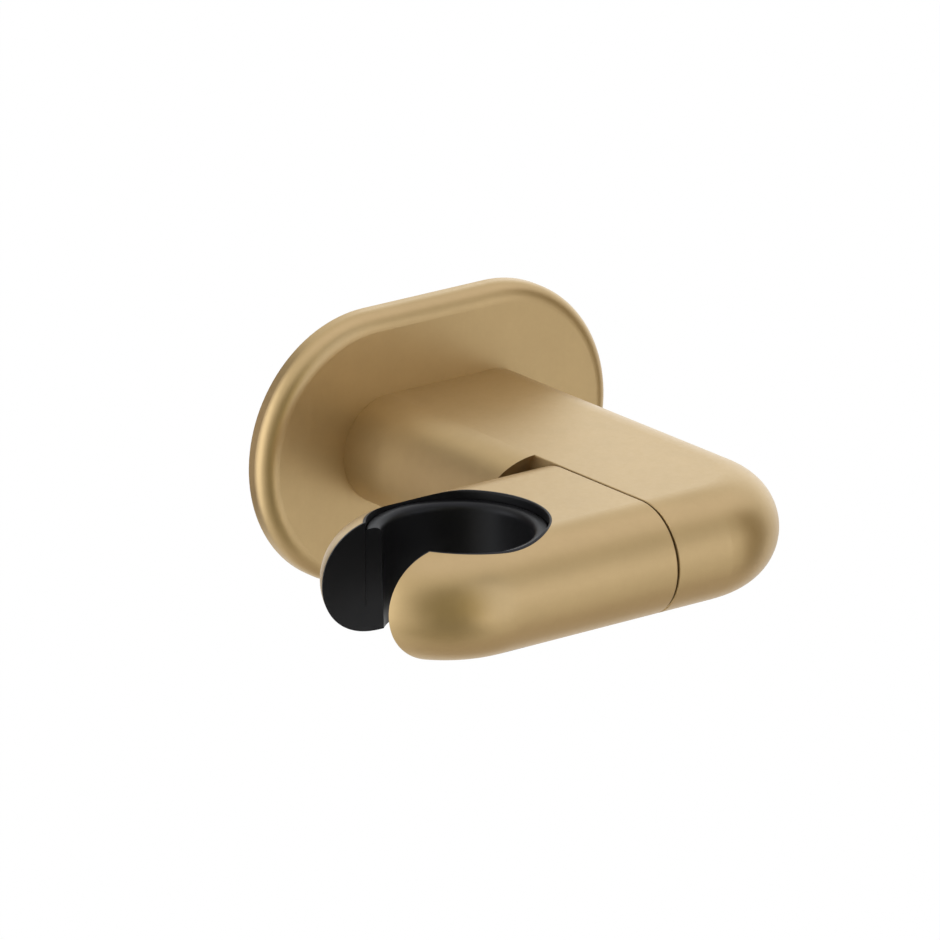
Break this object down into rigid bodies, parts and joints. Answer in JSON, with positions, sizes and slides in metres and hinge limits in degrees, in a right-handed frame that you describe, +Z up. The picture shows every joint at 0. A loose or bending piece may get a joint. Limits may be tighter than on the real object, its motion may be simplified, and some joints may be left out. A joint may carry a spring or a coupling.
{
  "type": "hand shower holder",
  "caption": "Wall-mounted hand shower holder: a pill-section brass arm turned sideways, with a tilting cradle that has a slotted black socket for the hand shower.",
  "frame": {"origin": "centre of the wall plate on the wall's surface", "axes": "+X to the right as one faces the wall, +Y into the wall, +Z up; the holder stands out towards -Y and its cradle points to -X"},
  "size_m": [0.0924, 0.0783, 0.0448],
  "materials": {
    "brushed_brass": "satin, finely brushed",
    "bush_brass": "machined",
    "black_plastic": "satin moulded",
    "bracket_steel": "zinc plated",
    "screw_steel": "stainless, turned",
    "spring_steel": "plain",
    "disc_plastic": "natural acetal"
  },
  "bodies": {
    "wall_side": {"wall_plate": "brushed_brass", "wall_bracket": "bracket_steel", "arm": "brushed_brass", "arm_set_screw": "screw_steel", "pivot_bush": "bush_brass", "pivot_bolt": "screw_steel", "disc_springs": "spring_steel", "thrust_washer": "screw_steel", "stop_pin": "screw_steel"},
    "cradle": {"cradle_shell": "brushed_brass", "friction_disc": "disc_plastic", "socket_cover": "black_plastic", "socket_liner": "black_plastic"}
  },
  "joints": [
    {"name": "cradle_tilt", "type": "hinge", "parent": "wall_side", "child": "cradle", "pos_m": [-0.01035, -0.0593, 0], "axis": [1, 0, 0], "range_deg": [-30, 30]}
  ]
}
